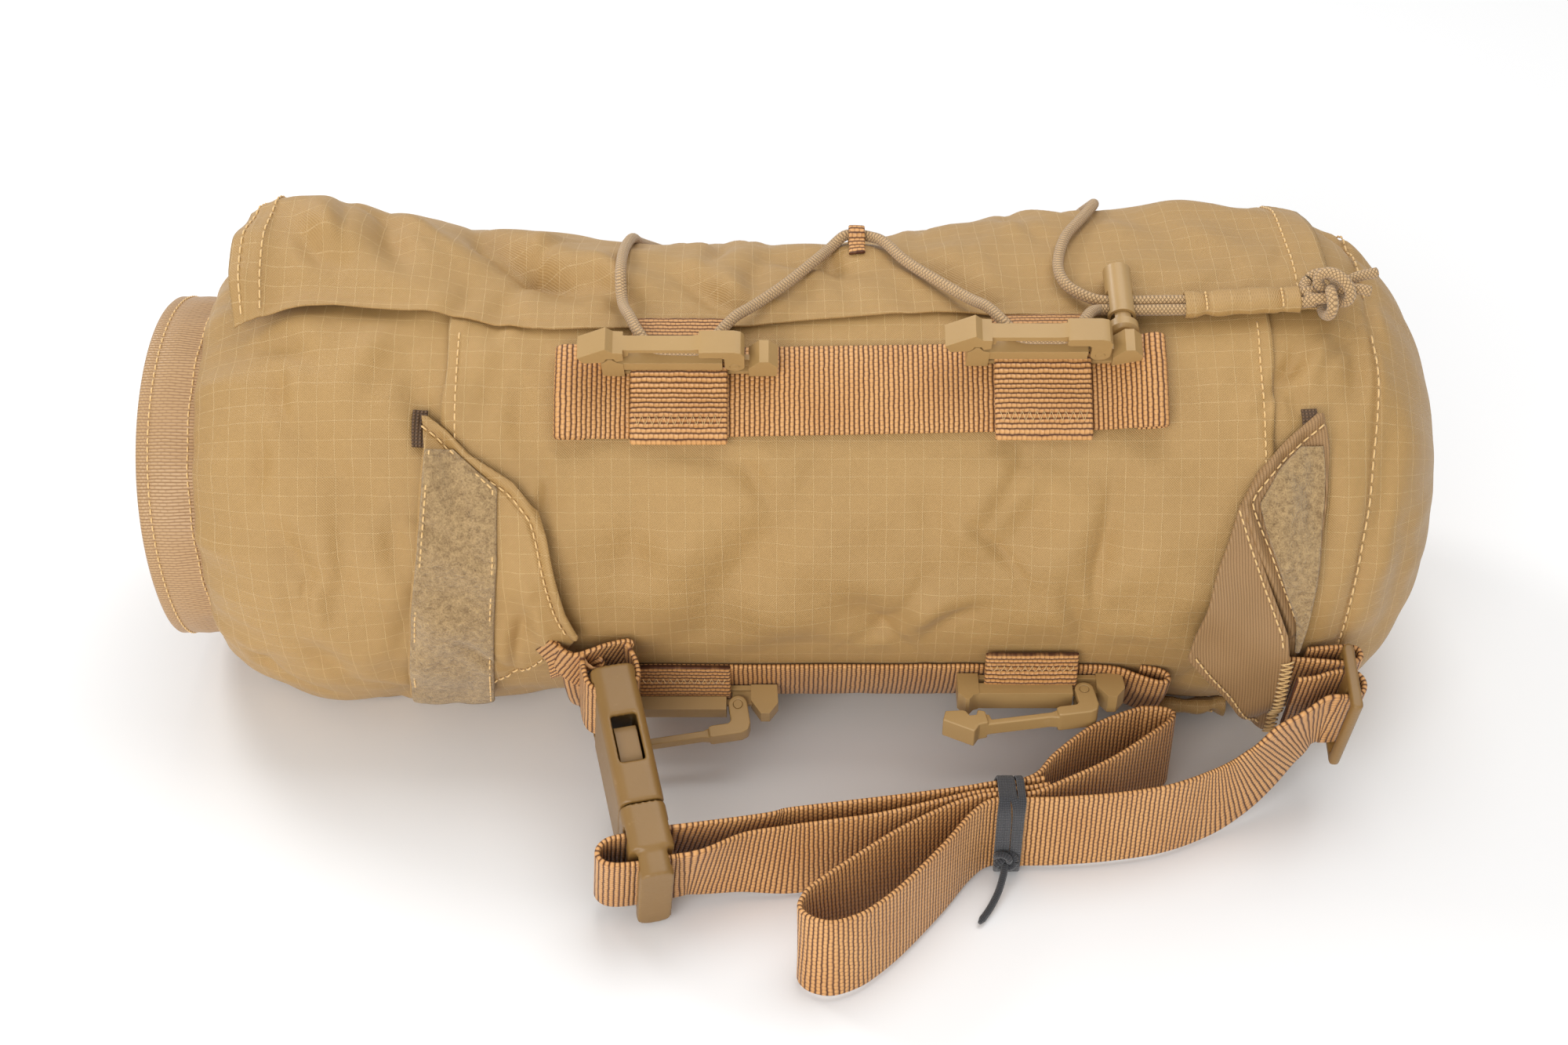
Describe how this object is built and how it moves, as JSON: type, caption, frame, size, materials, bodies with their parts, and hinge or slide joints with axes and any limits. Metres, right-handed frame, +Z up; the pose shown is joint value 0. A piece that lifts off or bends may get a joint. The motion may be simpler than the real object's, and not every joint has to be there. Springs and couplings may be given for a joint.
{
  "type": "compression sack",
  "caption": "Stuffed fabric compression sack lying on its side, laced with shock cord through snap hooks, with belt wings, a side-release buckle and a bundled waist strap.",
  "frame": {"origin": "middle of the flat underside, on the surface the sack lies on, midway between the two pairs of hooks", "axes": "+X along the sack away from its mouth, +Y away from the laced front, +Z up"},
  "size_m": [0.3568, 0.2173, 0.1343],
  "materials": {
    "cloth": "matte ripstop",
    "webbing": "woven ribs",
    "tape": "ribbed tape",
    "pile": "looped pile",
    "plastic": "satin",
    "cord": "braided",
    "elastic": "matte",
    "load": "matte",
    "spring_steel": "satin"
  },
  "bodies": {
    "sack": {"sack_barrel": "cloth", "left_end_shoulder": "cloth", "right_end_panel": "cloth", "packed_load": "load", "mouth_collar": "tape", "mouth_closure": "cloth", "cover_flap": "cloth", "front_panel": "cloth", "pocket_tape_left": "pile", "pocket_tape_right": "pile", "upper_strip": "webbing", "lower_strip": "webbing", "keeper_upper_left": "webbing", "keeper_upper_right": "webbing", "keeper_lower_left": "webbing", "keeper_lower_right": "webbing", "hook_frame_upper_left": "plastic", "hook_frame_upper_right": "plastic", "hook_frame_lower_left": "plastic", "hook_frame_lower_right": "plastic", "upper_shock_cord": "cord", "upper_cord_channel": "cloth", "lower_cord_channel": "cloth", "upper_cord_knot": "cord", "back_loop_left": "webbing", "back_loop_centre": "webbing", "back_loop_right": "webbing", "left_wing": "cloth", "right_wing": "cloth", "left_wing_pile": "pile", "right_wing_pile": "pile", "buckle_female": "plastic", "buckle_tab": "webbing", "strap_slider": "plastic", "slider_tab": "webbing", "waist_strap": "webbing", "strap_tie": "elastic"},
    "upper_left_arm": {"hook_arm_upper_left": "plastic"},
    "upper_right_arm": {"hook_arm_upper_right": "plastic"},
    "lower_left_arm": {"hook_arm_lower_left": "plastic"},
    "lower_right_arm": {"hook_arm_lower_right": "plastic"},
    "cord_lock": {"upper_lock_barrel": "plastic", "upper_lock_spring": "spring_steel"},
    "lock_plunger": {"upper_lock_plunger": "plastic"},
    "buckle_male_half": {"buckle_male": "plastic", "strap_buckle_loop": "webbing"},
    "prong_top": {"buckle_prong_top": "plastic"},
    "prong_bottom": {"buckle_prong_bottom": "plastic"}
  },
  "joints": [
    {"name": "upper_left_arm_hinge", "type": "hinge", "parent": "sack", "child": "upper_left_arm", "pos_m": [-0.0349, -0.03768, 0.1202], "axis": [0, 0.8572, 0.515], "range_deg": [0, 30]},
    {"name": "upper_right_arm_hinge", "type": "hinge", "parent": "sack", "child": "upper_right_arm", "pos_m": [0.0601, -0.0349, 0.12179], "axis": [0, 0.8788, 0.4772], "range_deg": [0, 30]},
    {"name": "lower_left_arm_hinge", "type": "hinge", "parent": "sack", "child": "lower_left_arm", "pos_m": [-0.0349, -0.06267, 0.01905], "axis": [0, -0.4384, 0.8988], "range_deg": [-9, 18]},
    {"name": "lower_right_arm_hinge", "type": "hinge", "parent": "sack", "child": "lower_right_arm", "pos_m": [0.0601, -0.06782, 0.02807], "axis": [0, -0.0872, 0.9962], "range_deg": [-9, 18]},
    {"name": "cord_lock_slide", "type": "slide", "parent": "sack", "child": "cord_lock", "axis": [1, 0, 0], "range_m": [0, 0.005]},
    {"name": "lock_plunger_press", "type": "slide", "parent": "cord_lock", "child": "lock_plunger", "axis": [0, 0.9588, 0.284], "range_m": [0, 0.0025], "stiffness_N_per_m": 400},
    {"name": "buckle_slide", "type": "slide", "parent": "sack", "child": "buckle_male_half", "axis": [0.2271, -0.9178, -0.3256], "range_m": [0, 0.026]},
    {"name": "buckle_prong_top_flex", "type": "hinge", "parent": "buckle_male_half", "child": "prong_top", "pos_m": [-0.05849, -0.11554, 0.03021], "axis": [-0.9707, -0.2402, 0], "range_deg": [0, 6], "stiffness_Nm_per_rad": 0.3},
    {"name": "buckle_prong_bottom_flex", "type": "hinge", "parent": "buckle_male_half", "child": "prong_bottom", "pos_m": [-0.05999, -0.10948, 0.01206], "axis": [0.9707, 0.2402, 0], "range_deg": [0, 6], "stiffness_Nm_per_rad": 0.3}
  ]
}
